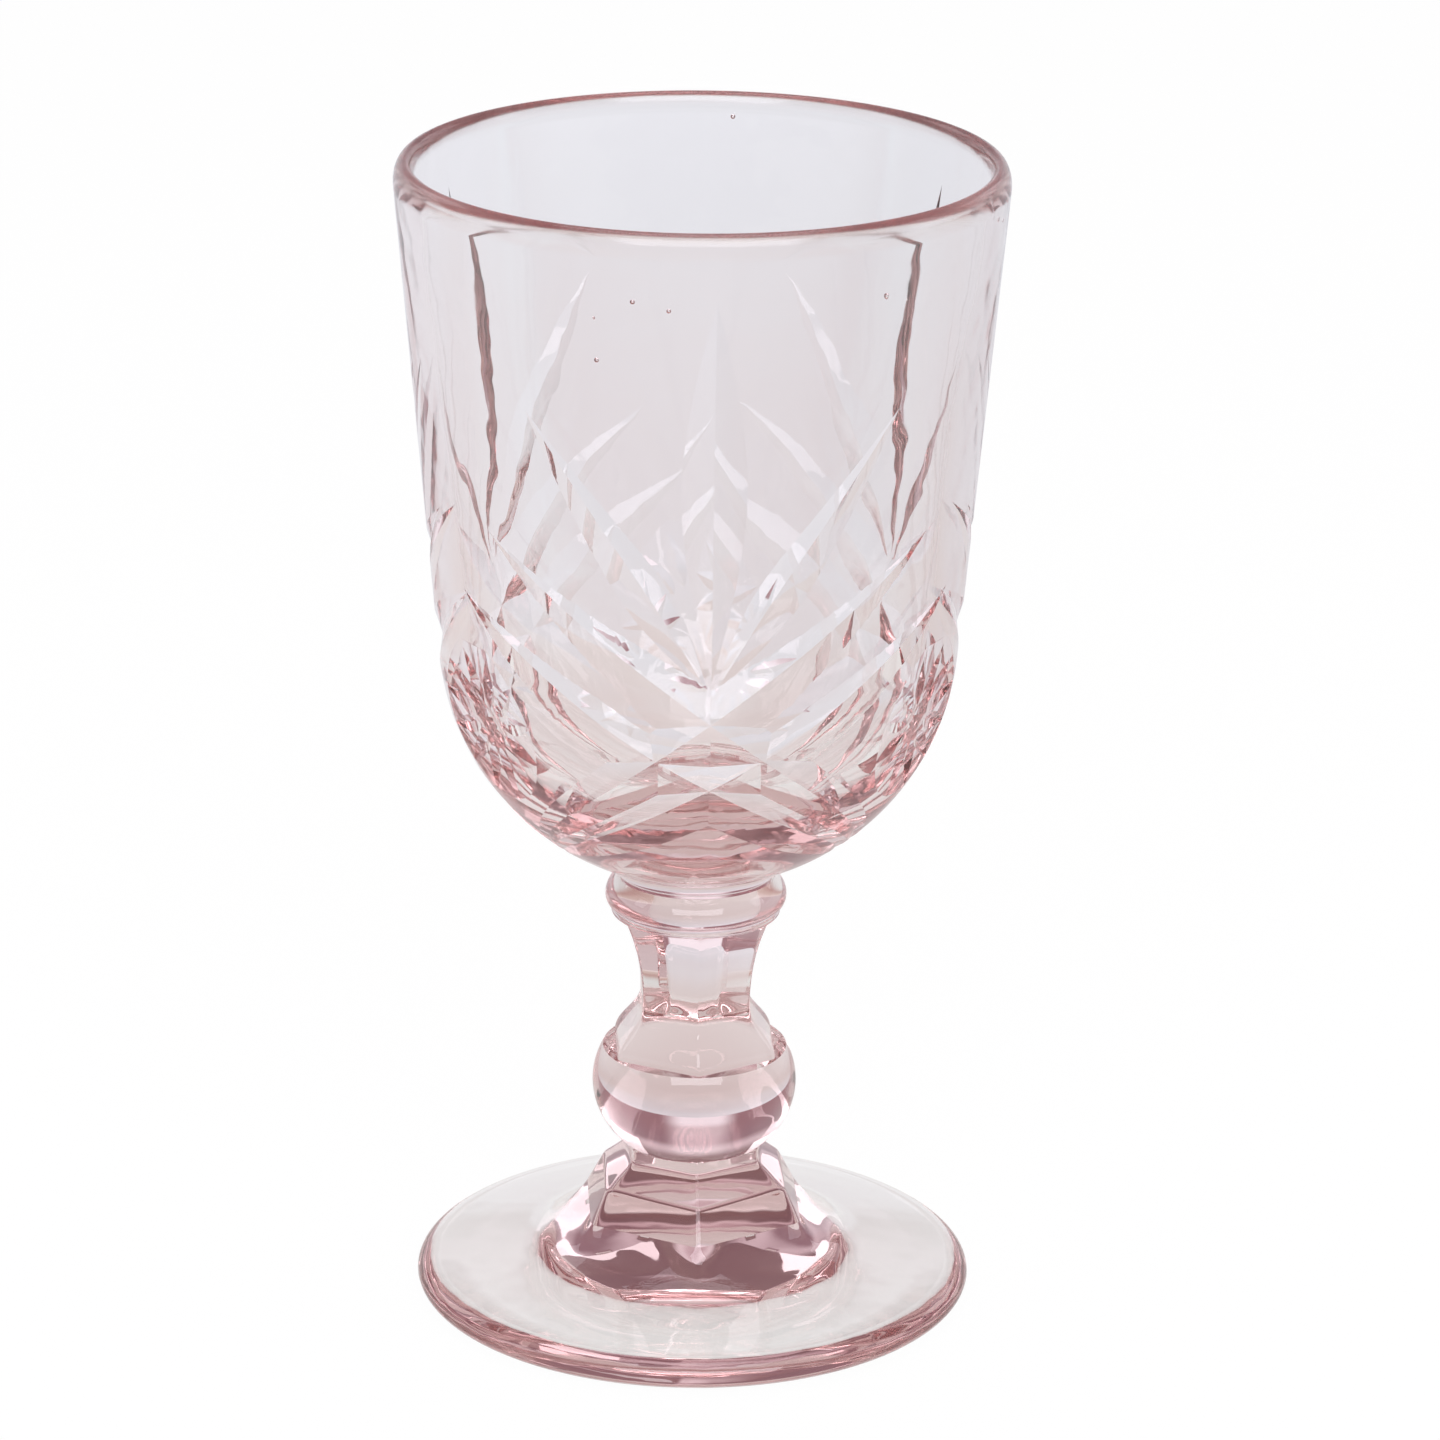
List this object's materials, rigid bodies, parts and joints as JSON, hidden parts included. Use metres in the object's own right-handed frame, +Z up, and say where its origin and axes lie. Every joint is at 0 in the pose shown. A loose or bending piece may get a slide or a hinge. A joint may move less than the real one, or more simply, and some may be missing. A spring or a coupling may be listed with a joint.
{
  "type": "goblet",
  "caption": "Pale rose pressed-glass goblet: deep flared bowl with mitre-cut fans and star rosettes, on a six-sided stem with a round knop and a wide disc foot.",
  "frame": {"origin": "middle of the foot at table level, on the goblet's axis", "axes": "+Z up along the axis from foot to rim; -Y towards the front, through the middle of one fan and one corner of the stem; +X to the right"},
  "size_m": [0.084, 0.084, 0.165],
  "materials": {
    "rose_glass": "fire-polished"
  },
  "bodies": {
    "root": {"foot": "rose_glass", "plinth": "rose_glass", "knop": "rose_glass", "neck": "rose_glass", "collar": "rose_glass", "bowl": "rose_glass"}
  },
  "joints": []
}
